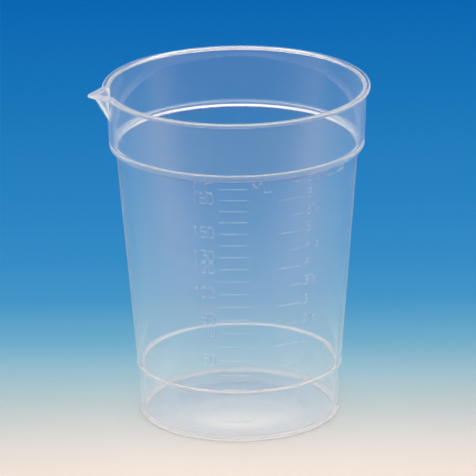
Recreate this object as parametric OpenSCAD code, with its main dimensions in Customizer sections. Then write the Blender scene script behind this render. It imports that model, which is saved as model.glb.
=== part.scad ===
// Graduated pouring beaker in translucent polypropylene, about 190 mL.
// Origin: centre of the face it stands on. +Z is up, and the spout points along -X.
// The real beaker is one moulding. Each moulded region is its own solid here, and
// neighbours meet face to face on the lines where the section changes.

/* [Overall] */
// Height from the table to the top of the rim
height = 92.8; // [92:0.1:94]
// Largest radius of the rim bead
rim_r = 36.2; // [35.8:0.1:36.8]
// Height of the rim bead
rim_h = 1; // [0.95:0.05:1.6]

/* [Collar] */
// Height of the flat inner ledge that the collar stands on
ledge_z = 77.8; // [74:0.1:80]
// Thickness of the ledge, from its underside to its top
ledge_t = 1.4; // [1.2:0.1:1.8]
// Outer radius of the collar at the ledge
collar_r = 34.6; // [34.4:0.1:34.8]
// Radius of the fillet under the ledge, where it meets the tapered wall
under_fillet = 1; // [0.6:0.1:1]
// Radius of the fillet inside, where the ledge meets the collar
ledge_fillet = 0.5; // [0.3:0.05:0.5]
// Wall thickness of the collar
collar_wall_t = 1.15; // [1:0.05:1.3]

/* [Body] */
// Outer radius of the tapered wall just under the ledge
body_top_r = 32.9; // [32.6:0.1:33.1]
// Outer radius of the tapered wall where it leaves the step
body_foot_r = 28.05; // [27.9:0.05:28.3]
// Wall thickness at the top of the tapered wall
wall_top_t = 0.65; // [0.6:0.05:0.9]
// Wall thickness at the foot of the tapered wall
wall_foot_t = 1.2; // [0.9:0.05:1.3]

/* [Foot] */
// Height of the small step above the table
step_z = 13.9; // [13:0.1:14.2]
// Outer radius of the straight foot below the step
foot_r = 27.25; // [27.1:0.05:27.4]
// Wall thickness of the straight foot
foot_wall_t = 1; // [0.8:0.05:1.1]
// Top of the flat outer part of the floor
floor_z = 0.9; // [0.9:0.05:1]
// Thickness of the floor
floor_t = 0.75; // [0.65:0.05:0.8]
// Radius where the raised middle of the floor begins
dome_r = 18.6; // [15:0.1:20]
// Rise of the middle of the floor
dome_h = 1.9; // [1.5:0.1:2.2]
// Radius of the gate mark at the middle of the floor
gate_r = 0.62; // [0.5:0.01:0.8]
// Height of the gate mark
gate_h = 0.7; // [0.3:0.1:0.9]

/* [Spout] */
// Distance from the axis to the inside of the spout's point, at the rim
spout_reach = 37.8; // [37.4:0.1:38.2]
// Angle of each side of the spout from its centre line, seen from above
spout_half_angle = 49; // [46:1:52]
// Slope of the spout's keel from the horizontal
keel_angle = 60.3; // [58:0.1:62]
// Width of the spout's thick lip
lip_w = 2.3; // [2.1:0.1:2.4]
// Rounding radius at the lip's point
lip_tip_r = 0.9; // [0.7:0.1:1.1]
// Wall thickness of the spout below its lip
spout_t = 1.3; // [1.1:0.05:1.4]

/* [Graduations] */
// Height that lines and figures stand out from the wall
relief = 0.2; // [0.15:0.05:0.3]
// Width of a raised line
line_w = 0.35; // [0.3:0.05:0.5]
// Angle from +X to the middle of the millilitre lines
ml_angle = 257.3; // [254:0.1:261]
// Length of a millilitre line
ml_line = 7.8; // [6:0.1:8.4]
// Millilitres from one line to the next
ml_step = 10; // [10:10:20]
// Angle from +X to the outer end of the ounce lines
oz_angle = 293.1; // [291:0.1:296]
// Length of a whole ounce line
oz_line = 7.3; // [6:0.1:7.5]
// Length of a half ounce line
half_line = 4; // [3:0.1:5]
// Height of the millilitre figures
figure_h = 2.9; // [2:0.1:3.2]
// Height of the ounce figures
oz_figure_h = 2.4; // [2:0.1:2.6]

/* [Hidden] */

$fn = 96;

milky = [0.86, 0.91, 0.95, 0.55];
edge_white = [0.97, 0.96, 0.97, 0.8];
mark_white = [1, 1, 1, 0.9];

rim_z = height - rim_h;
rim_round = 0.45;
collar_lean = 0.044;
rim_in_r = collar_r + collar_lean * (rim_z - ledge_z) - collar_wall_t;

under_z = ledge_z - ledge_t;
step_h = 1;
step_top_z = step_z + step_h;
body_lean = (body_top_r - body_foot_r) / (under_z - step_top_z);
cavity_foot_r = foot_r - foot_wall_t;
cavity_r0 = body_foot_r - wall_foot_t;
cavity_lean = (body_top_r - wall_top_t - cavity_r0) / (under_z - step_top_z);

ring_top_z = 2;
ring_in_r = 25.2;
ring_round = 0.9;
fillet = 0.8;
ledge_round = 0.4;
step_round = 0.3;
ring_bevel = 0.2;
gate_bevel = 0.15;

root_z = under_z - under_fillet;
collar_z = ledge_z + ledge_fillet;

rim_in_round = 0.65;
spout_root_z = 82;
back_x = rim_in_r - 2;
prism_depth = 9;
prism_low = -20;
prism_high = 6;
beak_box = [20, 30];
over = 1;

function collar_out(z) = collar_r + collar_lean * (z - ledge_z);
function collar_in(z) = collar_out(z) - collar_wall_t;
function body_out(z) = body_foot_r + body_lean * (z - step_top_z);
function body_in(z) = cavity_r0 + cavity_lean * (z - step_top_z);
function wall_out(z) = z < step_top_z - step_h / 2 ? foot_r : body_out(z);
function dome_z(r) =
    let (a = dome_r, big_r = (a * a + dome_h * dome_h) / (2 * dome_h))
    floor_z + dome_h - big_r + sqrt(big_r * big_r - r * r);
function arc(cx, cy, r, from, to, steps = 6) =
    [for (i = [0 : steps]) let (a = from + (to - from) * i / steps) [cx + r * cos(a), cy + r * sin(a)]];

// Contents of the cavity up to height z in the foot and in the tapered wall, and the
// height of a given contents in cubic millimetres.
dome_v = PI * dome_h * (3 * dome_r * dome_r + dome_h * dome_h) / 6;
foot_area = PI * cavity_foot_r * cavity_foot_r;
v_step = foot_area * (step_top_z - floor_z) - dome_v;
function level(v) = v < v_step
    ? floor_z + (v + dome_v) / foot_area
    : step_top_z + (pow(pow(cavity_r0, 3) + 3 * cavity_lean * (v - v_step) / PI, 1 / 3) - cavity_r0)
                   / cavity_lean;
ounce = 29574;

// ---- Rim and spout ----

module spout_frame() {
    rotate([0, 0, 180]) children();
}

// V-shaped plan of the lip: a rounded point, and sides that run back into the beaker.
module lip_plan() {
    tip_x = spout_reach + lip_w / sin(spout_half_angle) - lip_tip_r / sin(spout_half_angle);
    round_to = 90 - spout_half_angle;
    side = lip_tip_r / cos(spout_half_angle) + (tip_x - back_x) * tan(spout_half_angle);
    polygon(concat([[back_x, -side]],
                   arc(tip_x, 0, lip_tip_r, -round_to, round_to),
                   [[back_x, side]]));
}

// Slanted V prism whose ridge is parallel to the keel and passes apex_x at the top of the rim.
module v_prism(apex_x) {
    half = atan(tan(spout_half_angle) / sin(keel_angle));
    side = prism_depth * tan(half);
    translate([apex_x, 0, height]) rotate([0, 90 - keel_angle, 0]) translate([0, 0, prism_low])
        linear_extrude(prism_high - prism_low)
            polygon([[0, 0], [-prism_depth, side], [-prism_depth, -side]]);
}

module spout_inside() {
    v_prism(spout_reach);
}

module spout_outside() {
    v_prism(spout_reach + spout_t / sin(spout_half_angle));
}

module cavity_cone() {
    rotate_extrude() polygon([[0, ledge_z], [collar_in(ledge_z), ledge_z], [rim_in_r, rim_z],
                              [rim_in_r, height + over], [0, height + over]]);
}

module rim_bead() {
    color(edge_white) difference() {
        rotate_extrude() polygon(concat(
            [[rim_in_r, rim_z]],
            arc(rim_r - rim_round, rim_z + rim_round, rim_round, -90, 0),
            arc(rim_r - rim_round, height - rim_round, rim_round, 0, 90),
            arc(rim_in_r + rim_in_round, height - rim_in_round, rim_in_round, 90, 180)));
        spout_frame() translate([0, 0, rim_z - over]) linear_extrude(rim_h + 2 * over) lip_plan();
    }
}

module spout_lip() {
    color(edge_white) difference() {
        spout_frame() translate([0, 0, rim_z]) linear_extrude(rim_h) lip_plan();
        spout_frame() spout_inside();
        cavity_cone();
    }
}

module spout_beak() {
    color(milky) difference() {
        intersection() {
            spout_frame() spout_outside();
            translate([-rim_r - beak_box[0] / 2, -beak_box[1] / 2, spout_root_z])
                cube([beak_box[0], beak_box[1], rim_z - spout_root_z]);
        }
        spout_frame() spout_inside();
        cavity_cone();
    }
}

// ---- Walls ----

module collar_wall() {
    color(milky) difference() {
        rotate_extrude() polygon([
            [collar_in(collar_z), collar_z], [collar_out(collar_z), collar_z],
            [collar_out(rim_z), rim_z], [rim_in_r, rim_z]]);
        spout_frame() spout_outside();
    }
}

module stacking_shoulder() {
    ledge_in_r = body_in(ledge_z);
    color(edge_white) rotate_extrude() polygon(concat(
        [[body_in(root_z), root_z]],
        arc(body_out(root_z) + under_fillet, root_z, under_fillet, 180, 90),
        arc(collar_r - ledge_round, under_z + ledge_round, ledge_round, -90, 0),
        [[collar_r, ledge_z], [collar_out(collar_z), collar_z]],
        arc(collar_in(collar_z) - ledge_fillet, collar_z, ledge_fillet, 0, -90),
        arc(ledge_in_r + ledge_round, ledge_z - ledge_round, ledge_round, 90, 180)));
}

module body_wall() {
    color(milky) rotate_extrude() polygon([
        [cavity_r0, step_top_z], [body_foot_r, step_top_z],
        [body_out(root_z), root_z], [body_in(root_z), root_z]]);
}

module foot_step() {
    color(edge_white) rotate_extrude() polygon(concat(
        [[cavity_foot_r, step_z], [foot_r, step_z]],
        arc(body_foot_r - step_round, step_z + step_round, step_round, -90, 0),
        [[body_foot_r, step_top_z], [cavity_r0, step_top_z],
         [cavity_foot_r, step_z + step_round]]));
}

module foot_skirt() {
    color(milky) rotate_extrude() translate([cavity_foot_r, ring_top_z])
        square([foot_wall_t, step_z - ring_top_z]);
}

// ---- Base ----

module standing_ring() {
    color(edge_white) rotate_extrude() polygon(concat(
        [[ring_in_r, floor_z - floor_t], [ring_in_r + ring_bevel, 0]],
        arc(foot_r - ring_round, ring_round, ring_round, -90, 0),
        [[foot_r, ring_top_z], [cavity_foot_r, ring_top_z]],
        arc(cavity_foot_r - fillet, floor_z + fillet, fillet, 0, -90),
        [[ring_in_r, floor_z]]));
}

module base_floor() {
    color(milky) rotate_extrude() translate([dome_r, floor_z - floor_t])
        square([ring_in_r - dome_r, floor_t]);
}

module base_dome() {
    steps = 10;
    top = [for (i = [0 : steps]) let (r = dome_r * i / steps) [r, dome_z(r)]];
    under = [for (i = [steps : -1 : 0]) let (r = dome_r * i / steps) [r, dome_z(r) - floor_t]];
    color(milky) rotate_extrude() polygon(concat(top, under));
}

module gate_mark() {
    top = floor_z + dome_h + gate_h;
    color(mark_white) rotate_extrude() polygon([
        [0, floor_z + dome_h], [gate_r, floor_z + dome_h],
        [gate_r, top - gate_bevel], [gate_r - gate_bevel, top], [0, top]]);
}

// ---- Graduations ----

// Solid outline of the beaker's outer wall, which the figures are trimmed against.
module wall_core() {
    rotate_extrude($fn = 360) polygon([[0, 0], [foot_r, 0], [foot_r, step_z], [body_foot_r, step_z],
                              [body_foot_r, step_top_z], [body_top_r, under_z], [0, under_z]]);
}

// Raised line that follows the wall, from one angle over a span, at height z.
module ring_line(z, from, span) {
    low = z - line_w / 2;
    high = z + line_w / 2;
    rotate([0, 0, from]) rotate_extrude(angle = span) polygon([
        [wall_out(z), low], [wall_out(z) + relief, low + line_bevel],
        [wall_out(z) + relief, high - line_bevel], [wall_out(z), high]]);
}

function arc_span(length, z) = length / wall_out(z) * 180 / PI;
function wall_tilt(z) = z < step_z ? 0 : atan(body_lean);

// Strokes of each figure on a grid two units wide and four units high.
function strokes(c) =
    c == "0" ? [[[0, 0], [2, 0], [2, 4], [0, 4], [0, 0]]] :
    c == "1" ? [[[0.4, 3.2], [1, 4], [1, 0]]] :
    c == "2" ? [[[0, 3.2], [0.5, 4], [2, 4], [2, 2.6], [0, 0], [2, 0]]] :
    c == "3" ? [[[0, 4], [2, 4], [2, 0], [0, 0]], [[0.6, 2.1], [2, 2.1]]] :
    c == "4" ? [[[1.6, 0], [1.6, 4], [0, 1.4], [2, 1.4]]] :
    c == "5" ? [[[2, 4], [0, 4], [0, 2.3], [2, 2.3], [2, 0], [0, 0]]] :
    c == "6" ? [[[2, 4], [0.6, 4], [0, 3], [0, 0], [2, 0], [2, 2.2], [0, 2.2]]] :
    c == "7" ? [[[0, 4], [2, 4], [0.8, 0]]] :
    c == "8" ? [[[0, 0], [2, 0], [2, 4], [0, 4], [0, 0]], [[0, 2.1], [2, 2.1]]] :
    c == "C" ? [[[2, 4], [0, 4], [0, 0], [2, 0]]] :
    c == "M" ? [[[0, 0], [0, 4], [1, 1.8], [2, 4], [2, 0]]] :
    c == "L" ? [[[0, 4], [0, 0], [2, 0]]] :
    c == "F" ? [[[0, 0], [0, 4], [2, 4]], [[0, 2.1], [1.6, 2.1]]] :
    c == "O" ? [[[0, 0], [2, 0], [2, 4], [0, 4], [0, 0]]] :
    c == "Z" ? [[[0, 4], [2, 4], [0, 0], [2, 0]]] :
    c == "." ? [[[0.8, 0], [1.2, 0]]] :
    [[[0, -0.4], [2, 4.4]]];

module bar(from, to, w) {
    d = to - from;
    translate(from) rotate(atan2(d[1], d[0])) translate([-w / 2, -w / 2]) square([norm(d) + w, w]);
}

// One flat figure, w wide and h high, centred on the origin.
module figure(c, w, h) {
    for (path = strokes(c), i = [0 : len(path) - 2]) {
        from = path[i];
        to = path[i + 1];
        bar([(from[0] / 2 - 0.5) * w, (from[1] / 4 - 0.5) * h],
            [(to[0] / 2 - 0.5) * w, (to[1] / 4 - 0.5) * h], line_w);
    }
}

// A row of figures that wraps round the wall. Its first figure starts at angle from.
module figure_row(txt, z, from, w, h, pitch) {
    root = 0.5;
    for (i = [0 : len(txt) - 1])
        rotate([0, 0, from + arc_span(pitch * i + w / 2, z)])
            translate([wall_out(z) + relief, 0, z]) rotate([90, 0, 90])
                rotate([wall_tilt(z), 0, 0]) translate([0, 0, -relief - root])
                    linear_extrude(relief + root) figure(txt[i], w, h);
}

module on_wall() {
    difference() {
        children();
        wall_core();
    }
}

ml_marks = [for (v = [ml_step : ml_step : 190]) v];
ml_labels = [50, 70, 80, 100, 120, 130, 150, 180];
label_gap = 1.5;
label_rise = 0.35;
figure_w = 1.45;
figure_pitch = 2.05;
caption_w = 2.1;
caption_pitch = 3;
oz_gap = 0.9;
oz_rise = 0.8;
oz_figure_w = 1.3;
half_gap = 2.9;
full_v = 190;
line_bevel = 0.05;
caption_gap = 6.1;
clear_of_step = 0.4;
small_w = oz_figure_w * 0.5;
small_h = oz_figure_h * 0.55;
slash_h = small_h * 1.3;
slash_gap = 0.6;
two_gap = 1.4;

module ml_lines() {
    color(mark_white) for (v = ml_marks) {
        z = level(v * 1000);
        span = arc_span(ml_line, z);
        ring_line(z, ml_angle - span / 2, span);
    }
}

// Angle at which n figures start, so that the last one ends just before the lines.
function label_start(n, w, pitch, z) =
    ml_angle - arc_span(ml_line / 2 + label_gap + pitch * (n - 1) + w, z);

module ml_figures() {
    color(mark_white) on_wall() for (v = ml_labels) {
        z = level(v * 1000) + label_rise;
        start = label_start(len(str(v)), figure_w, figure_pitch, z);
        figure_row(str(v), z, start, figure_w, figure_h, figure_pitch);
    }
}

module cc_caption() {
    z = level(full_v * 1000) + label_rise;
    start = label_start(2, caption_w, caption_pitch, z);
    color(mark_white) on_wall() figure_row("CC", z, start, caption_w, figure_h, caption_pitch);
}

module ml_caption() {
    z = level(full_v * 1000) + label_rise;
    start = ml_angle + arc_span(ml_line / 2 + label_gap, z);
    color(mark_white) on_wall() figure_row("ML", z, start, caption_w, figure_h, caption_pitch);
}

module oz_marks(first, last, length) {
    color(mark_white) for (n = [first : last]) {
        z = level(n * ounce);
        span = arc_span(length, z);
        ring_line(z, oz_angle - span, span);
    }
}

module oz_whole_lines() {
    oz_marks(1, 6, oz_line);
}

module oz_half_lines() {
    oz_marks(0.5, 6.5, half_line);
}

// Height of an ounce figure: a little over its line, and clear above the step.
function oz_figure_z(n) = let (z = level(n * ounce) + oz_rise)
    n < 1 ? z : max(z, step_z + oz_figure_h / 2 + clear_of_step);

module oz_figures() {
    color(mark_white) on_wall() for (n = [1 : 0.5 : 6.5]) {
        z = oz_figure_z(n);
        figure_row(str(floor(n)), z, oz_angle + arc_span(oz_gap, z), oz_figure_w, oz_figure_h, 0);
    }
}

// The half sign: a small one and a small two on either side of a slanted bar.
module half_sign(z, from) {
    figure_row("1", z + small_h / 2, from, small_w, small_h, 0);
    figure_row("/", z, from + arc_span(slash_gap, z), small_w, slash_h, 0);
    figure_row("2", z - small_h / 2, from + arc_span(two_gap, z), small_w, small_h, 0);
}

module oz_fractions() {
    color(mark_white) on_wall() for (n = [0.5 : 6.5]) {
        z = level(n * ounce) + oz_rise;
        half_sign(z, oz_angle + arc_span(n < 1 ? oz_gap : half_gap, z));
    }
}

module oz_caption() {
    z = level(6.5 * ounce) + oz_rise;
    color(mark_white) on_wall()
        figure_row("FL.OZ", z, oz_angle + arc_span(caption_gap, z), figure_w, oz_figure_h, figure_pitch);
}

rim_bead();
spout_lip();
spout_beak();
collar_wall();
stacking_shoulder();
body_wall();
foot_step();
foot_skirt();
standing_ring();
base_floor();
base_dome();
gate_mark();
ml_lines();
ml_figures();
ml_caption();
cc_caption();
oz_whole_lines();
oz_half_lines();
oz_figures();
oz_fractions();
oz_caption();
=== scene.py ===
"""Graduated pouring beaker in translucent polypropylene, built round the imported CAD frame.

The real beaker is one moulding. Every CAD node gets one finer piece here, cut from the same
smooth section, and pieces meet on seam faces that show nothing.
"""

import math

import bmesh
import bpy
import numpy as np
from mathutils import Matrix, Vector


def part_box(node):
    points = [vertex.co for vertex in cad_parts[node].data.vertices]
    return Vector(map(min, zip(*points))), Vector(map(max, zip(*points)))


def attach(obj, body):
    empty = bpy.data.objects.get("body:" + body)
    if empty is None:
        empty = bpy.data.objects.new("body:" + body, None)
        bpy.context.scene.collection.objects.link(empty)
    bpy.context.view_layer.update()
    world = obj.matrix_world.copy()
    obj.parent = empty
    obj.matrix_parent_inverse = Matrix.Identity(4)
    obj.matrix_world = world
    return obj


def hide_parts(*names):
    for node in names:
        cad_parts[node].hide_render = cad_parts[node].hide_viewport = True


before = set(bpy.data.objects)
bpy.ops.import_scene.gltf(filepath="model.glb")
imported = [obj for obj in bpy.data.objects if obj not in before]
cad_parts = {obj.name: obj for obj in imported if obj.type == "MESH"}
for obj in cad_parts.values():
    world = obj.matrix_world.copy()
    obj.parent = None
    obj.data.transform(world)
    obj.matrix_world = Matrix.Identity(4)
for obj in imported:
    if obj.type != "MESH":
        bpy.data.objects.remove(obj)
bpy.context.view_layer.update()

MM = 0.001
NIL = 1e-6

# ---- Sizes of the design, in millimetres ----

rim_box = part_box("rim_bead")
HEIGHT = rim_box[1].z / MM
RIM_R = rim_box[1].x / MM
RIM_H = (rim_box[1].z - rim_box[0].z) / MM
RIM_Z = HEIGHT - RIM_H
RIM_ROUND = 0.45
MOUTH_ROUND = 0.65

UNDER_FILLET = 1.0
LEDGE_FILLET = 0.5
COLLAR_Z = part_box("stacking_shoulder")[1].z / MM
LEDGE_Z = COLLAR_Z - LEDGE_FILLET
ROOT_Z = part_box("stacking_shoulder")[0].z / MM
UNDER_Z = ROOT_Z + UNDER_FILLET
LEDGE_ROUND = 0.4
COLLAR_R = 34.6
COLLAR_LEAN = 0.044
COLLAR_T = 1.15

BODY_TOP_R = 32.9
BODY_FOOT_R = 28.05
WALL_TOP_T = 0.65
WALL_FOOT_T = 1.2

STEP_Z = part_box("foot_step")[0].z / MM
STEP_TOP_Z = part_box("foot_step")[1].z / MM
STEP_ROUND = 0.3
FOOT_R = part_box("foot_skirt")[1].x / MM
FOOT_T = 1.0
RING_TOP_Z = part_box("standing_ring")[1].z / MM
RING_IN_R = 25.2
RING_ROUND = 0.9
FILLET = 0.8
FLOOR_Z = 0.9
FLOOR_T = 0.75
DOME_R = 18.6
DOME_H = 1.9
GATE_R = 0.62
GATE_TOP_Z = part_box("gate_mark")[1].z / MM
GATE_ROUND = 0.2
GATE_INNER = 0.6

SPOUT_REACH = 37.8
SPOUT_HALF = math.radians(49)
KEEL_SLOPE = 0.571
SPOUT_T = 1.3
LIP_W = 2.3
LIP_TIP_R = 0.9
BEAK_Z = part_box("spout_beak")[0].z / MM
SPOUT_SPAN = 10

BODY_LEAN = (BODY_TOP_R - BODY_FOOT_R) / (UNDER_Z - STEP_TOP_Z)
CAVITY_FOOT_R = FOOT_R - FOOT_T
CAVITY_R0 = BODY_FOOT_R - WALL_FOOT_T
CAVITY_LEAN = (BODY_TOP_R - WALL_TOP_T - CAVITY_R0) / (UNDER_Z - STEP_TOP_Z)


def collar_out(z):
    return COLLAR_R + COLLAR_LEAN * (z - LEDGE_Z)


def collar_in(z):
    return collar_out(z) - COLLAR_T


def body_out(z):
    return BODY_FOOT_R + BODY_LEAN * (z - STEP_TOP_Z)


def body_in(z):
    return CAVITY_R0 + CAVITY_LEAN * (z - STEP_TOP_Z)


def wall_out(z):
    return FOOT_R if z < STEP_Z else body_out(z)


# ---- Materials ----


def node_of(tree, kind, **values):
    node = tree.nodes.new(kind)
    for key, value in values.items():
        setattr(node, key, value)
    return node


def noise(tree, coords, scale, detail):
    n = node_of(tree, "ShaderNodeTexNoise")
    n.inputs["Scale"].default_value = scale
    n.inputs["Detail"].default_value = detail
    tree.links.new(coords, n.inputs["Vector"])
    return n.outputs["Fac"]


def remap(tree, value, low, high):
    n = node_of(tree, "ShaderNodeMapRange")
    n.inputs["To Min"].default_value = low
    n.inputs["To Max"].default_value = high
    tree.links.new(value, n.inputs["Value"])
    return n.outputs["Result"]


def mix_colour(tree, fac, a, b):
    n = node_of(tree, "ShaderNodeMix", data_type="RGBA")
    n.inputs["A"].default_value = (*a, 1)
    n.inputs["B"].default_value = (*b, 1)
    tree.links.new(fac, n.inputs["Factor"])
    return n.outputs["Result"]


def new_material(name):
    mat = bpy.data.materials.new(name)
    mat.use_nodes = True
    mat.node_tree.nodes.clear()
    return mat, mat.node_tree


def mix_shader(tree, fac, a, b):
    n = node_of(tree, "ShaderNodeMixShader")
    tree.links.new(fac, n.inputs["Fac"])
    tree.links.new(a, n.inputs[1])
    tree.links.new(b, n.inputs[2])
    return n.outputs[0]


def face_value(tree, name):
    return node_of(tree, "ShaderNodeAttribute", attribute_name=name).outputs["Fac"]


def times(tree, a, b):
    n = node_of(tree, "ShaderNodeMath", operation="MULTIPLY")
    tree.links.new(a, n.inputs[0])
    tree.links.new(b, n.inputs[1])
    return n.outputs[0]


PP_IOR = 1.49
FOG_DENSITY, FOG_FORWARD = 72, 0.2
GRAIN_SCALE, WAVE_SCALE, FINE_SCALE, CLOUD_SCALE = 700, 55, 900, 90
FINE_SHARE = 0.05
RIPPLE_DEPTH = 0.0002
WHITE, COOL = (1.0, 1.0, 1.0), (0.95, 0.98, 0.95)
WARM, PEACH = (0.94, 0.89, 0.89), (0.9, 0.83, 0.83)


def polypropylene(name, clear, pale, milk, haze, rough, ripple, shade):
    """Natural polypropylene: smooth and clear, with slow mould ripples and a thin fog inside. Its
    skin scatters a share of the light too, in colours from milk to pale: haze is that share square
    on and edge on, where the face value milk is 1. Faces whose value seam is 1 meet a neighbour
    and show nothing. shade is what the skin lets through of a lamp's light."""
    mat, tree = new_material(name)
    coords = node_of(tree, "ShaderNodeTexCoord").outputs["Object"]
    glass = node_of(tree, "ShaderNodeBsdfPrincipled")
    glass.inputs["Base Color"].default_value = (*clear, 1)
    glass.inputs["IOR"].default_value = PP_IOR
    glass.inputs["Transmission Weight"].default_value = 1.0
    grain = noise(tree, coords, GRAIN_SCALE, 2)
    tree.links.new(remap(tree, grain, *rough), glass.inputs["Roughness"])
    wave = noise(tree, coords, WAVE_SCALE, 2)
    fine = noise(tree, coords, FINE_SCALE, 3)
    add = node_of(tree, "ShaderNodeMath", operation="MULTIPLY_ADD")
    add.inputs[1].default_value = FINE_SHARE
    tree.links.new(fine, add.inputs[0])
    tree.links.new(wave, add.inputs[2])
    bump = node_of(tree, "ShaderNodeBump")
    bump.inputs["Strength"].default_value = ripple
    bump.inputs["Distance"].default_value = RIPPLE_DEPTH
    tree.links.new(add.outputs[0], bump.inputs["Height"])
    tree.links.new(bump.outputs["Normal"], glass.inputs["Normal"])

    cloud = noise(tree, coords, CLOUD_SCALE, 3)
    tint = mix_colour(tree, cloud, milk, pale)
    skin = []
    for kind in ("ShaderNodeBsdfDiffuse", "ShaderNodeBsdfTranslucent"):
        scatter = node_of(tree, kind)
        tree.links.new(tint, scatter.inputs["Color"])
        skin.append(scatter.outputs[0])
    half = node_of(tree, "ShaderNodeValue").outputs[0]
    half.default_value = 0.5
    slant = node_of(tree, "ShaderNodeLayerWeight").outputs["Facing"]
    share = times(tree, remap(tree, times(tree, slant, slant), *haze), face_value(tree, "milk"))
    surface = mix_shader(tree, share, glass.outputs[0], mix_shader(tree, half, *skin))

    lit = node_of(tree, "ShaderNodeBsdfTransparent")
    lit.inputs["Color"].default_value = (shade, shade, shade, 1)
    lamp = node_of(tree, "ShaderNodeLightPath").outputs["Is Shadow Ray"]
    surface = mix_shader(tree, lamp, surface, lit.outputs[0])
    gone = node_of(tree, "ShaderNodeBsdfTransparent").outputs[0]
    surface = mix_shader(tree, face_value(tree, "seam"), surface, gone)
    inside = node_of(tree, "ShaderNodeVolumeScatter")
    inside.inputs["Color"].default_value = (*milk, 1)
    inside.inputs["Density"].default_value = FOG_DENSITY
    inside.inputs["Anisotropy"].default_value = FOG_FORWARD
    out = node_of(tree, "ShaderNodeOutputMaterial")
    tree.links.new(surface, out.inputs["Surface"])
    tree.links.new(inside.outputs[0], out.inputs["Volume"])
    return mat


WALL = polypropylene("pp_wall", clear=WHITE, pale=WHITE, milk=COOL, haze=(0.0, 0.0),
                     rough=(0.015, 0.05), ripple=0.12, shade=0.93)
EDGE = polypropylene("pp_edge", clear=(0.96, 0.94, 0.94), pale=WARM, milk=PEACH, haze=(0.1, 0.5),
                     rough=(0.12, 0.2), ripple=0.2, shade=0.75)
MARK = polypropylene("pp_mark", clear=(0.88, 0.9, 0.92), pale=WHITE, milk=COOL, haze=(0.1, 0.34),
                     rough=(0.05, 0.12), ripple=0.1, shade=0.93)

# ---- Mesh tools ----

SEAM_GAP = 0.002
SHARP_ANGLE = 0.6

# Columns round the axis, in degrees from the spout: closest at its tip, then over the spout.
TIP_SPAN, TIP_STEP = 2, 0.25
FINE_SPAN, FINE_STEP = 16, 0.5
WIDE_STEP = 2
phis = [p for p in np.arange(-FINE_SPAN, FINE_SPAN, TIP_STEP)
        if abs(p) <= TIP_SPAN or p % FINE_STEP == 0]
COLUMNS = np.array(phis + list(np.arange(FINE_SPAN, 360 - FINE_SPAN, WIDE_STEP)))


def arc(cx, cz, r, start, end, steps=6):
    angles = np.radians(np.linspace(start, end, steps + 1))
    return [(cx + r * math.cos(a), cz + r * math.sin(a)) for a in angles]


def spun(r, z, phi):
    """A point at radius r, height z and phi degrees from the spout, in metres."""
    a = math.radians(180 + phi)
    return (r * math.cos(a) * MM, r * math.sin(a) * MM, z * MM)


def add_piece(node, slot, surface, verts, faces, seams, milky=lambda x, y, z: 1):
    """One closed mesh that stands for a CAD node. seams says which faces meet a neighbour, and
    milky says from a face's middle, in millimetres, how milky its skin is."""
    mesh = bpy.data.meshes.new(node)
    mesh.from_pydata(verts, [], faces)
    mesh.materials.append(surface)
    bm = bmesh.new()
    bm.from_mesh(mesh)
    bm.faces.ensure_lookup_table()
    bmesh.ops.recalc_face_normals(bm, faces=bm.faces)
    for vert in bm.verts:
        away = sum((f.normal for f in vert.link_faces if seams[f.index]), Vector())
        vert.co -= away.normalized() * SEAM_GAP * MM
    for face in bm.faces:
        face.smooth = True
    for edge in bm.edges:  # a closed mesh has two faces at every edge
        a, b = edge.link_faces
        edge.smooth = seams[a.index] == seams[b.index] and edge.calc_face_angle() < SHARP_ANGLE
    bm.to_mesh(mesh)
    bm.free()
    marks = {"seam": seams, "milk": [milky(*(p.center / MM)) for p in mesh.polygons]}
    for name, values in marks.items():
        layer = mesh.attributes.new(name, "FLOAT", "FACE")
        layer.data.foreach_set("value", [float(v) for v in values])
    obj = bpy.data.objects.new(node + "_moulded", mesh)
    bpy.context.scene.collection.objects.link(obj)
    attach(obj, "root")
    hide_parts(node)


def revolve(loop, seam_after, columns=COLUMNS, closed=True):
    """Turns a closed loop of (radius, height) about the axis. loop may depend on phi. seam_after
    holds the indices of the loop's points after which a seam face runs."""
    verts, faces, seams, index = [], [], [], {}
    count = len(loop(columns[0]))

    def vertex(i, j, r, z, phi):
        key = ("axis", j) if r < NIL else (i, j)
        if key not in index:
            index[key] = len(verts)
            verts.append(spun(r, z, phi))
        return index[key]

    rings = [
        [vertex(i, j, r, z, phi) for j, (r, z) in enumerate(loop(phi))]
        for i, phi in enumerate(columns)
    ]
    pairs = list(zip(rings, rings[1:] + rings[:1] if closed else rings[1:]))
    for ring, after in pairs:
        for j in range(count):
            k = (j + 1) % count
            corners = list(dict.fromkeys([ring[j], after[j], after[k], ring[k]]))
            if len(corners) > 2:
                faces.append(corners)
                seams.append(j in seam_after)
    if not closed:
        faces += [rings[0], rings[-1]]
        seams += [True, True]
    return verts, faces, seams


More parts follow.
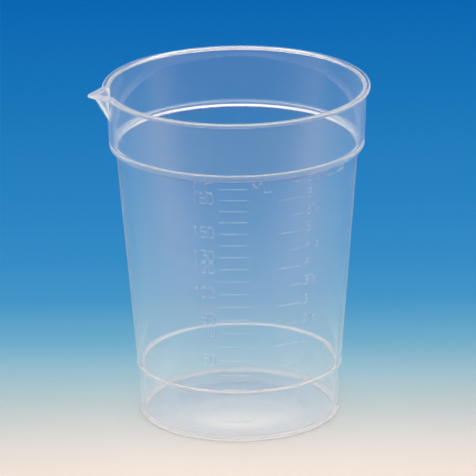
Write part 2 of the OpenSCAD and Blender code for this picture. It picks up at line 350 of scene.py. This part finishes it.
def panel(rows, outside, inside, keep):
    """A closed piece of wall between two surfaces, over the cells of the column and row grid
    that keep accepts. Its rims are seams."""
    verts, faces, seams, index = [], [], [], {}
    n = len(COLUMNS)
    cells = {
        (i, j)
        for i in range(n)
        for j in range(len(rows) - 1)
        if keep(COLUMNS[i], (COLUMNS[(i + 1) % n] - COLUMNS[i]) % 360, rows[j])
    }

    def vertex(i, j, side):
        key = (i % n, j, side)
        if key not in index:
            index[key] = len(verts)
            phi, z = COLUMNS[i % n], rows[j]
            verts.append(spun((outside, inside)[side](phi, z), z, phi))
        return index[key]

    for i, j in sorted(cells):
        for side in (0, 1):
            faces.append([vertex(a, b, side) for a, b in
                          ((i, j), (i + 1, j), (i + 1, j + 1), (i, j + 1))])
            seams.append(False)
        sides = {
            (i, j - 1): ((i, j), (i + 1, j)),
            (i, j + 1): ((i, j + 1), (i + 1, j + 1)),
            ((i - 1) % n, j): ((i, j), (i, j + 1)),
            ((i + 1) % n, j): ((i + 1, j), (i + 1, j + 1)),
        }
        for beyond, (a, b) in sides.items():
            if beyond not in cells:
                faces.append([vertex(*a, 0), vertex(*b, 0), vertex(*b, 1), vertex(*a, 1)])
                seams.append(True)
    return verts, faces, seams


# ---- Spout: the round wall pushed out to a V with soft corners ----


def soft_push(gap, soft):
    """gap where it is well above 0, 0 where it is well below, and a bend between of width soft."""
    h = min(max(0.5 + 0.5 * gap / soft, 0), 1)
    return gap * h + soft * h * (1 - h)


def v_radius(phi, apex, soft_angle):
    """Radius of a V whose point is at apex, phi degrees from the spout's centre line."""
    p = math.hypot(math.radians(wrapped(phi)), math.radians(soft_angle))
    t = math.tan(SPOUT_HALF)
    return apex * t / (math.sin(p) + t * math.cos(p)) if p < 1 else 0


def wrapped(phi):
    return (phi + 180) % 360 - 180


V_SOFT = 0.15
IN_ANGLE, OUT_ANGLE = 0.15, 0.25


def apex_in(z):
    """Radius of the V's point on the inner side."""
    return SPOUT_REACH - KEEL_SLOPE * (HEIGHT - z)


def push_in(phi, z):
    """How far the spout moves the inner side out."""
    return soft_push(v_radius(phi, apex_in(z), IN_ANGLE) - collar_in(z), V_SOFT)


def push_wall(phi, z):
    """How far the spout moves the wall's outer side out."""
    apex = apex_in(z) + SPOUT_T / math.sin(SPOUT_HALF)
    return soft_push(v_radius(phi, apex, OUT_ANGLE) - collar_out(z), V_SOFT)


def push_lip(phi):
    """How far the spout moves the bead's outer side out: a V with a round point."""
    apex = SPOUT_REACH + LIP_W / math.sin(SPOUT_HALF)
    centre = apex - LIP_TIP_R / math.sin(SPOUT_HALF)
    p = math.radians(wrapped(phi))
    radius = v_radius(phi, apex, 0)
    side = centre * math.sin(p)
    if abs(side) < LIP_TIP_R * math.cos(SPOUT_HALF):
        radius = centre * math.cos(p) + math.sqrt(LIP_TIP_R**2 - side**2)
    return soft_push(radius - RIM_R, V_SOFT)


# ---- Rim, lip, collar and beak ----

STRIP = 0.1  # a narrow strip of faces beside a seam keeps the shading even across it


def rim_loop(phi):
    """The bead's section, from its foot on the wall, round the outside and down the mouth."""
    z0 = RIM_Z
    wall_r, in_r = collar_out(z0), collar_in(z0)
    under = [(wall_r, z0), (wall_r + STRIP, z0), (RIM_R - RIM_ROUND - STRIP, z0)]
    under += arc(RIM_R - RIM_ROUND, z0 + RIM_ROUND, RIM_ROUND, -90, 0)
    top = arc(RIM_R - RIM_ROUND, HEIGHT - RIM_ROUND, RIM_ROUND, 0, 90)
    mouth = arc(in_r + MOUTH_ROUND, HEIGHT - MOUTH_ROUND, MOUTH_ROUND, 90, 180)
    mouth += [(in_r, z0 + STRIP), (in_r, z0)]
    wall, lip = push_wall(phi, z0), push_lip(phi)
    points = []
    for r, z in under:
        share = (r - wall_r) / (RIM_R - wall_r)
        points.append((r + wall + (lip - wall) * share, z))
    points += [(r + lip, z) for r, z in top]
    points += [(r + push_in(phi, z), z) for r, z in mouth]
    return points


SPOUT_COLUMNS = COLUMNS[np.abs(COLUMNS) <= SPOUT_SPAN]
RIM_COLUMNS = np.array([p for p in COLUMNS if p >= SPOUT_SPAN] +
                       [p + 360 for p in COLUMNS if p <= -SPOUT_SPAN])
last = len(rim_loop(0)) - 1


BEAD_MILK, BEAD_SKIN_W = 0.75, 0.6


def bead_skin(x, y, z):
    """Milky on the bead's round outer side only."""
    return BEAD_MILK if math.hypot(x, y) > RIM_R - BEAD_SKIN_W else 0


add_piece("rim_bead", "thick_edge", EDGE, *revolve(rim_loop, {last}, RIM_COLUMNS, False),
          bead_skin)
add_piece("spout_lip", "thick_edge", EDGE, *revolve(rim_loop, {last}, SPOUT_COLUMNS, False))

beak_rows = np.linspace(BEAK_Z, RIM_Z - STRIP, 17)
collar_rows = [COLLAR_Z, COLLAR_Z + STRIP, 79.6, 80.9, 82.2, *beak_rows, RIM_Z]


def in_beak(phi, width, z):
    return z >= BEAK_Z - NIL and phi >= -SPOUT_SPAN and phi + width <= SPOUT_SPAN


def collar_outside(phi, z):
    return collar_out(z) + push_wall(phi, z)


def collar_inside(phi, z):
    return collar_in(z) + push_in(phi, z)


add_piece("collar_wall", "thin_wall", WALL, *panel(
    collar_rows, collar_outside, collar_inside, lambda *cell: not in_beak(*cell)))
add_piece("spout_beak", "thin_wall", WALL, *panel(
    collar_rows, collar_outside, collar_inside, in_beak))

# ---- Shoulder, body and foot ----


def loop_of(*parts):
    """A fixed loop from points and arcs, and the indices after which its seams run: a seam is
    marked by the word seam between two parts."""
    points, seams = [], set()
    for part in parts:
        if part == "seam":
            seams.add(len(points) - 1)
        else:
            points += part if isinstance(part, list) else [part]
    return (lambda phi: points), seams


def straight(r0, z0, r1, z1, steps):
    """Points on a straight line, closer together at its two ends, for clean normals there."""
    share = [0, 0.01, *np.linspace(0, 1, steps + 1)[1:-1], 0.99, 1]
    return [(r0 + (r1 - r0) * s, z0 + (z1 - z0) * s) for s in share]


LEDGE_SKIN_H = 0.75
MILKY_Z = LEDGE_Z - LEDGE_SKIN_H


def ledge_skin(x, y, z):
    """Milky on the ledge's inner edge, clear elsewhere."""
    return z > MILKY_Z and math.hypot(x, y) < body_in(LEDGE_Z) + LEDGE_ROUND


add_piece("stacking_shoulder", "thick_edge", EDGE, *revolve(*loop_of(
    arc(body_out(ROOT_Z) + UNDER_FILLET, ROOT_Z, UNDER_FILLET, 180, 90, 8),
    arc(COLLAR_R - LEDGE_ROUND, UNDER_Z + LEDGE_ROUND, LEDGE_ROUND, -90, 0),
    (COLLAR_R, LEDGE_Z), (collar_out(COLLAR_Z), COLLAR_Z), "seam",
    arc(collar_in(COLLAR_Z) - LEDGE_FILLET, COLLAR_Z, LEDGE_FILLET, 0, -90),
    arc(body_in(LEDGE_Z) + LEDGE_ROUND, LEDGE_Z - LEDGE_ROUND, LEDGE_ROUND, 90, 180),
    (body_in(MILKY_Z), MILKY_Z), (body_in(ROOT_Z + STRIP), ROOT_Z + STRIP),
    (body_in(ROOT_Z), ROOT_Z), "seam")), ledge_skin)

add_piece("body_wall", "thin_wall", WALL, *revolve(*loop_of(
    straight(BODY_FOOT_R, STEP_TOP_Z, body_out(ROOT_Z), ROOT_Z, 12), "seam",
    straight(body_in(ROOT_Z), ROOT_Z, CAVITY_R0, STEP_TOP_Z, 12), "seam")))

STEP_IN_H, STEP_IN_R, STEP_IN_TOP = 0.2, 0.1, 0.41  # the small ramp on the step's inner side
add_piece("foot_step", "thick_edge", EDGE, *revolve(*loop_of(
    straight(FOOT_R, STEP_Z, BODY_FOOT_R - STEP_ROUND - 0.01, STEP_Z, 2),
    arc(BODY_FOOT_R - STEP_ROUND, STEP_Z + STEP_ROUND, STEP_ROUND, -90, 0),
    (BODY_FOOT_R, STEP_TOP_Z - STRIP), (BODY_FOOT_R, STEP_TOP_Z), "seam",
    (CAVITY_R0, STEP_TOP_Z), (CAVITY_FOOT_R + STEP_IN_R, STEP_Z + STEP_IN_TOP),
    (CAVITY_FOOT_R, STEP_Z + STEP_IN_H), (CAVITY_FOOT_R, STEP_Z), "seam")))

add_piece("foot_skirt", "thin_wall", WALL, *revolve(*loop_of(
    straight(FOOT_R, RING_TOP_Z, FOOT_R, STEP_Z, 4), "seam",
    straight(CAVITY_FOOT_R, STEP_Z, CAVITY_FOOT_R, RING_TOP_Z, 4), "seam")))

# ---- Base ----

under_floor = FLOOR_Z - FLOOR_T
RING_BEVEL_W, RING_BEVEL_H = 0.25, 0.02
add_piece("standing_ring", "thick_edge", EDGE, *revolve(*loop_of(
    (RING_IN_R, under_floor), (RING_IN_R + STRIP, under_floor - RING_BEVEL_H),
    (RING_IN_R + RING_BEVEL_W, 0),
    arc(FOOT_R - RING_ROUND, RING_ROUND, RING_ROUND, -90, 0, 8),
    (FOOT_R, RING_TOP_Z - STRIP), (FOOT_R, RING_TOP_Z), "seam",
    (CAVITY_FOOT_R, RING_TOP_Z),
    arc(CAVITY_FOOT_R - FILLET, FLOOR_Z + FILLET, FILLET, 0, -90, 8),
    (RING_IN_R, FLOOR_Z), "seam")))

dome_ball = (DOME_R**2 + DOME_H**2) / (2 * DOME_H)
DOME_SOFT = 0.4


def floor_top(r):
    """Height of the floor: a low dome that fades softly into a flat ring."""
    dome = DOME_H - dome_ball + math.sqrt(dome_ball**2 - r * r)
    return FLOOR_Z + soft_push(dome, DOME_SOFT)


flat_radii = [DOME_R, 19.1, 19.7, 20.4, 21.2, 22, 23, 24, 25, RING_IN_R]
add_piece("base_floor", "thin_wall", WALL, *revolve(*loop_of(
    [(r, floor_top(r) - FLOOR_T) for r in flat_radii], "seam",
    [(r, floor_top(r)) for r in reversed(flat_radii)], "seam")))

dome_radii = [0, 0.6, 1.5, 3, 5, 7, 9, 11, 13, 14.5, 15.5, 16.3, 17, 17.6, 18.1, DOME_R]
add_piece("base_dome", "thin_wall", WALL, *revolve(*loop_of(
    [(r, floor_top(r) - FLOOR_T) for r in dome_radii], "seam",
    [(r, floor_top(r)) for r in reversed(dome_radii)])))

gate_foot = FLOOR_Z + DOME_H
add_piece("gate_mark", "raised_mark", MARK, *revolve(*loop_of(
    (0, gate_foot), (GATE_R * GATE_INNER, gate_foot), (GATE_R, gate_foot),
    arc(GATE_R - GATE_ROUND, GATE_TOP_Z - GATE_ROUND, GATE_ROUND, 0, 90), (0, GATE_TOP_Z))))

# ---- Graduations: rounded ridges that follow the wall ----

RELIEF = 0.2
LINE_W = 0.35
LINE_MILK = 0.1
CLEAR = 0.002
ML_ANGLE = 257.3
ML_LINE = 7.8
OZ_ANGLE = 293.1
OZ_LINE = 7.3
HALF_LINE = 4.0
FIGURE_H, FIGURE_W, FIGURE_PITCH = 2.9, 1.45, 2.05
OZ_FIGURE_H, OZ_FIGURE_W = 2.4, 1.3
CAPTION_W, CAPTION_PITCH = 2.1, 3.0
LABEL_GAP, OZ_GAP, HALF_GAP, OZ_CAPTION_GAP = 1.5, 0.9, 2.9, 6.1
LABEL_RISE, OZ_RISE = 0.35, 0.8
ML_LABELS = (50, 70, 80, 100, 120, 130, 150, 180)
FULL_V = 190
OUNCE = 29574

dome_volume = math.pi * DOME_H * (3 * DOME_R**2 + DOME_H**2) / 6
foot_area = math.pi * CAVITY_FOOT_R**2
step_volume = foot_area * (STEP_TOP_Z - FLOOR_Z) - dome_volume


def level(volume):
    """Height of that many cubic millimetres in the beaker."""
    if volume < step_volume:
        return FLOOR_Z + (volume + dome_volume) / foot_area
    cubed = CAVITY_R0**3 + 3 * CAVITY_LEAN * (volume - step_volume) / math.pi
    return STEP_TOP_Z + (cubed ** (1 / 3) - CAVITY_R0) / CAVITY_LEAN


def degrees_of(length, z):
    return math.degrees(length / wall_out(z))


STROKES = {
    "0": [[(0, 0), (2, 0), (2, 4), (0, 4), (0, 0)]],
    "1": [[(0.4, 3.2), (1, 4), (1, 0)]],
    "2": [[(0, 3.2), (0, 4), (2, 4), (2, 2.6), (0, 0), (2, 0)]],
    "3": [[(0, 4), (2, 4), (2, 2.1), (0.8, 2.1)], [(1.4, 2.1), (2, 2.1), (2, 0), (0, 0)]],
    "4": [[(1.6, 0), (1.6, 4), (0, 1.4), (2, 1.4)]],
    "5": [[(2, 4), (0, 4), (0, 2.3), (2, 2.3), (2, 0), (0, 0)]],
    "6": [[(2, 4), (0, 4), (0, 0), (2, 0), (2, 2.2), (0, 2.2)]],
    "7": [[(0, 4), (2, 4), (0.8, 0)]],
    "8": [[(0, 2.1), (0, 0), (2, 0), (2, 2.1), (0, 2.1), (0, 4), (2, 4), (2, 2.1)]],
    "C": [[(2, 4), (0, 4), (0, 0), (2, 0)]],
    "M": [[(0, 0), (0, 4), (1, 1.8), (2, 4), (2, 0)]],
    "L": [[(0, 4), (0, 0), (2, 0)]],
    "F": [[(0, 0), (0, 4), (2, 4)], [(0, 2.1), (1.6, 2.1)]],
    "O": [[(0, 0), (2, 0), (2, 4), (0, 4), (0, 0)]],
    "Z": [[(0, 4), (2, 4), (0, 0), (2, 0)]],
    ".": [[(0.8, 0), (1.2, 0)]],
    "/": [[(0, -0.4), (2, 4.4)]],
}
ROUND_ONES = "02356890CO"
ROUND_REACH, CORNER_REACH, LONGEST_REACH = 0.45, 0.08, 0.48
END_TAPER = 0.6
LINE_STEP = 0.8
# Section of a ridge: how far across, and how far up.
ACROSS = ((-1, 0), (-0.8, 0.5), (-0.4, 0.93), (0.4, 0.93), (0.8, 0.5), (1, 0))


def softened(path, reach):
    """The path with its corners cut to soft curves that start reach away, and if it is closed."""
    pts = [np.array(p, float) for p in path]
    closed = np.allclose(pts[0], pts[-1])
    if closed:
        pts = pts[:-1]
    out = []
    for k, p in enumerate(pts):
        if not closed and k in (0, len(pts) - 1):
            out.append(p)
            continue
        a, b = pts[k - 1], pts[(k + 1) % len(pts)]
        da, db = np.linalg.norm(a - p), np.linalg.norm(b - p)
        start = p + (a - p) * min(reach / da, LONGEST_REACH)
        end = p + (b - p) * min(reach / db, LONGEST_REACH)
        for s in np.linspace(0, 1, 6):
            out.append((1 - s) ** 2 * start + 2 * s * (1 - s) * p + s * s * end)
    return out, closed


class Ridges:
    """Collects rounded ridges on the wall as one mesh."""

    def __init__(self):
        self.verts, self.faces, self.seams = [], [], []

    def add(self, path, closed, z0, at):
        """path is a list of (along the wall, up) from the point at height z0 and angle at."""
        n = len(path)
        rings = []
        for k, p in enumerate(path):
            a = path[k - 1] if k or closed else p
            b = path[(k + 1) % n] if k < n - 1 or closed else p
            d = (b - a) / np.linalg.norm(b - a)
            side = np.array([-d[1], d[0]]) * LINE_W / 2
            end = END_TAPER if not closed and k in (0, n - 1) else 1
            ring = []
            for across, up in ACROSS:
                s, dz = p + side * across * end
                z = z0 + dz
                r = wall_out(z) + CLEAR + RELIEF * up * end
                ring.append(len(self.verts))
                self.verts.append(spun(r, z, at - 180 + degrees_of(s, z0)))
            rings.append(ring)
        m = len(ACROSS)
        for k in range(n if closed else n - 1):
            one, two = rings[k], rings[(k + 1) % n]
            for j in range(m):
                i = (j + 1) % m
                self.faces.append([one[j], two[j], two[i], one[i]])
                self.seams.append(j == m - 1)
        if not closed:
            self.faces += [rings[0], rings[-1]]
            self.seams += [False, False]

    def line(self, z, start, length):
        steps = max(4, round(length / LINE_STEP))
        self.add([np.array([s, 0]) for s in np.linspace(0, length, steps + 1)], False, z, start)

    def figures(self, text, z, start, w, h, pitch):
        for i, c in enumerate(text):
            at = start + degrees_of(pitch * i + w / 2, z)
            for path in STROKES[c]:
                scaled = [((x / 2 - 0.5) * w, (y / 4 - 0.5) * h) for x, y in path]
                reach = ROUND_REACH if c in ROUND_ONES else CORNER_REACH
                soft, closed = softened(scaled, reach * w)
                self.add(soft, closed, z, at)

    def finish(self, node, milk=1):
        """Adds the ridges as one piece, whose whole skin is that milky."""
        add_piece(node, "raised_mark", MARK, self.verts, self.faces, self.seams,
                  lambda x, y, z: milk)


def label_start(count, w, pitch, z):
    """Angle where a label of that many figures starts, left of the millilitre lines."""
    return ML_ANGLE - degrees_of(ML_LINE / 2 + LABEL_GAP + pitch * (count - 1) + w, z)


ml_lines = Ridges()
for volume in range(10, FULL_V + 1, 10):
    z = level(volume * 1000)
    ml_lines.line(z, ML_ANGLE - degrees_of(ML_LINE / 2, z), ML_LINE)
ml_lines.finish("ml_lines", LINE_MILK)

ml_figures = Ridges()
for volume in ML_LABELS:
    z = level(volume * 1000) + LABEL_RISE
    text = str(volume)
    ml_figures.figures(text, z, label_start(len(text), FIGURE_W, FIGURE_PITCH, z),
                       FIGURE_W, FIGURE_H, FIGURE_PITCH)
ml_figures.finish("ml_figures")

caption_z = level(FULL_V * 1000) + LABEL_RISE
cc = Ridges()
cc.figures("CC", caption_z, label_start(2, CAPTION_W, CAPTION_PITCH, caption_z),
           CAPTION_W, FIGURE_H, CAPTION_PITCH)
cc.finish("cc_caption")
ml = Ridges()
ml.figures("ML", caption_z, ML_ANGLE + degrees_of(ML_LINE / 2 + LABEL_GAP, caption_z),
           CAPTION_W, FIGURE_H, CAPTION_PITCH)
ml.finish("ml_caption")

STEP_CLEAR = 0.4
SMALL_H, SMALL_W = 0.55, 0.5
SLASH_AT, SLASH_H, TWO_AT = 0.6, 1.3, 1.4
whole, half, oz_figures, fractions = Ridges(), Ridges(), Ridges(), Ridges()
for halves in range(1, 14):
    ounces = halves / 2
    z = level(ounces * OUNCE)
    is_whole = halves % 2 == 0
    length = OZ_LINE if is_whole else HALF_LINE
    (whole if is_whole else half).line(z, OZ_ANGLE - degrees_of(length, z), length)
    z += OZ_RISE
    if ounces >= 1:
        up = max(z, STEP_Z + OZ_FIGURE_H / 2 + STEP_CLEAR)
        oz_figures.figures(str(int(ounces)), up, OZ_ANGLE + degrees_of(OZ_GAP, up),
                           OZ_FIGURE_W, OZ_FIGURE_H, 0)
    if not is_whole:
        small_h, small_w = OZ_FIGURE_H * SMALL_H, OZ_FIGURE_W * SMALL_W
        at = OZ_ANGLE + degrees_of(OZ_GAP if ounces < 1 else HALF_GAP, z)
        fractions.figures("1", z + small_h / 2, at, small_w, small_h, 0)
        fractions.figures("/", z, at + degrees_of(SLASH_AT, z), small_w, small_h * SLASH_H, 0)
        fractions.figures("2", z - small_h / 2, at + degrees_of(TWO_AT, z), small_w, small_h, 0)
whole.finish("oz_whole_lines", LINE_MILK)
half.finish("oz_half_lines", LINE_MILK)
oz_figures.finish("oz_figures")
fractions.finish("oz_fractions")

oz_z = level(6.5 * OUNCE) + OZ_RISE
oz_caption = Ridges()
oz_caption.figures("FL.OZ", oz_z, OZ_ANGLE + degrees_of(OZ_CAPTION_GAP, oz_z),
                   FIGURE_W, OZ_FIGURE_H, FIGURE_PITCH)
oz_caption.finish("oz_caption")

# ---- Stage: a pale floor that turns to blue behind the beaker ----

TURN = -10.5
STAGE = 3.0
FLOOR_GAP = 0.00002
# Distance behind the beaker in metres, and the colour seen there.
STOPS = (
    (-0.6, (70, 100, 125)),
    (-0.3, (95, 105, 115)),
    (-0.2, (140, 145, 150)),
    (-0.1, (224, 214, 207)),
    (-0.052, (243, 231, 223)),
    (-0.03, (228, 224, 220)),
    (0.005, (186, 204, 209)),
    (0.028, (154, 194, 211)),
    (0.052, (111, 175, 208)),
    (0.087, (67, 152, 204)),
    (0.125, (52, 142, 202)),
    (0.177, (41, 133, 199)),
    (0.29, (24, 118, 188)),
    (0.39, (11, 104, 183)),
)
PAPER_LIGHT = (1.5, 1.55, 1.61)  # what the lamps multiply the paper by
SKY_WHITE = (1.0, 0.98, 0.98)
SKY_BLUE = (0.01, 0.15, 0.45)
SKY_STRENGTH = 1.0


def linear(byte):
    """Linear light of one sRGB channel from 0 to 255."""
    v = byte / 255
    return v / 12.92 if v < 0.04045 else ((v + 0.055) / 1.055) ** 2.4


def stage_material():
    """Paper whose colour runs from front to back through STOPS, as it looks under the lamps."""
    mat, tree = new_material("stage_paper")
    coords = node_of(tree, "ShaderNodeTexCoord").outputs["Object"]
    split = node_of(tree, "ShaderNodeSeparateXYZ")
    tree.links.new(coords, split.inputs[0])
    low, high = STOPS[0][0], STOPS[-1][0]
    span = node_of(tree, "ShaderNodeMapRange")
    span.inputs["From Min"].default_value = low
    span.inputs["From Max"].default_value = high
    tree.links.new(split.outputs["Y"], span.inputs["Value"])
    ramp = node_of(tree, "ShaderNodeValToRGB")
    points = ramp.color_ramp.elements
    for k, (y, colour) in enumerate(STOPS):
        at = (y - low) / (high - low)
        point = points[k] if k < 2 else points.new(at)
        point.position = at
        point.color = (*(linear(c) / lit for c, lit in zip(colour, PAPER_LIGHT)), 1)
    tree.links.new(span.outputs["Result"], ramp.inputs["Fac"])
    shader = node_of(tree, "ShaderNodeBsdfDiffuse")
    tree.links.new(ramp.outputs["Color"], shader.inputs["Color"])
    out = node_of(tree, "ShaderNodeOutputMaterial")
    tree.links.new(shader.outputs[0], out.inputs["Surface"])
    return mat


floor_mesh = bpy.data.meshes.new("floor")
floor_mesh.from_pydata(
    [(x * STAGE, y * STAGE, -FLOOR_GAP) for x, y in ((-1, -1), (1, -1), (1, 1), (-1, 1))],
    [], [(0, 1, 2, 3)])
floor_mesh.materials.append(stage_material())
floor = bpy.data.objects.new("floor", floor_mesh)
bpy.context.scene.collection.objects.link(floor)
floor.rotation_euler.z = math.radians(TURN)

# ---- Light: a white tent, blue low behind the beaker ----

BEHIND, LOW = (0.35, 0.8), (0.75, 0.45)
world = bpy.data.worlds.new("studio")
bpy.context.scene.world = world
world.use_nodes = True
sky = world.node_tree
heading = node_of(sky, "ShaderNodeTexCoord").outputs["Generated"]
turned = node_of(sky, "ShaderNodeVectorRotate", rotation_type="Z_AXIS")
turned.inputs["Angle"].default_value = math.radians(-TURN)
sky.links.new(heading, turned.inputs["Vector"])
part = node_of(sky, "ShaderNodeSeparateXYZ")
sky.links.new(turned.outputs[0], part.inputs[0])


def fade(tree, value, start, end):
    """0 at start and 1 at end, smoothly."""
    n = node_of(tree, "ShaderNodeMapRange", interpolation_type="SMOOTHSTEP")
    n.inputs["From Min"].default_value = start
    n.inputs["From Max"].default_value = end
    tree.links.new(value, n.inputs["Value"])
    return n.outputs["Result"]


behind = fade(sky, part.outputs["Y"], *BEHIND)
low = fade(sky, part.outputs["Z"], *LOW)
both = node_of(sky, "ShaderNodeMath", operation="MULTIPLY")
sky.links.new(behind, both.inputs[0])
sky.links.new(low, both.inputs[1])
tent = mix_colour(sky, both.outputs[0], SKY_WHITE, SKY_BLUE)
sky.links.new(tent, sky.nodes["Background"].inputs["Color"])
sky.nodes["Background"].inputs["Strength"].default_value = SKY_STRENGTH


def softbox(name, place, aim, size, power):
    """A rectangular lamp that the camera doesn't see."""
    lamp = bpy.data.lights.new(name, "AREA")
    lamp.shape = "RECTANGLE"
    lamp.size, lamp.size_y = size
    lamp.energy = power
    obj = bpy.data.objects.new(name, lamp)
    bpy.context.scene.collection.objects.link(obj)
    obj.location = place
    obj.rotation_euler = (Vector(aim) - Vector(place)).to_track_quat("-Z", "Y").to_euler()
    obj.visible_camera = False


TABLE, MIDDLE = (0, 0, 0), (0, 0, 0.05)
SIDE_SIZE, SIDE_POWER = (0.7, 1.2), 2
softbox("overhead", (0, 0.3, 1.8), TABLE, (2.0, 1.6), 24)
softbox("left", (-1.5, -0.3, 0.7), MIDDLE, SIDE_SIZE, SIDE_POWER)
softbox("right", (1.5, -0.1, 0.7), MIDDLE, SIDE_SIZE, SIDE_POWER)

# ---- Camera ----

CAMERA_BACK, CAMERA_UP = 1.4025, 0.5344
PITCH, ROLL = 19.09, -0.66
LENS = 412.5

camera = bpy.data.cameras.new("camera")
camera.lens = LENS
camera.sensor_width = 36
camera.clip_start = 0.05
camera.clip_end = 20
eye = bpy.data.objects.new("camera", camera)
bpy.context.scene.collection.objects.link(eye)
eye.matrix_world = (
    Matrix.Rotation(math.radians(TURN), 4, "Z")
    @ Matrix.Translation((0, -CAMERA_BACK, CAMERA_UP))
    @ Matrix.Rotation(math.radians(90 - PITCH), 4, "X")
    @ Matrix.Rotation(math.radians(ROLL), 4, "Z")
)
scene = bpy.context.scene
scene.camera = eye
scene.view_settings.view_transform = "Standard"
scene.cycles.max_bounces = 32
scene.cycles.transmission_bounces = 32
scene.cycles.glossy_bounces = 12
scene.cycles.diffuse_bounces = 3
scene.cycles.volume_bounces = 4
scene.cycles.transparent_max_bounces = 64
scene.cycles.blur_glossy = 0.2
scene.cycles.sample_clamp_indirect = 4
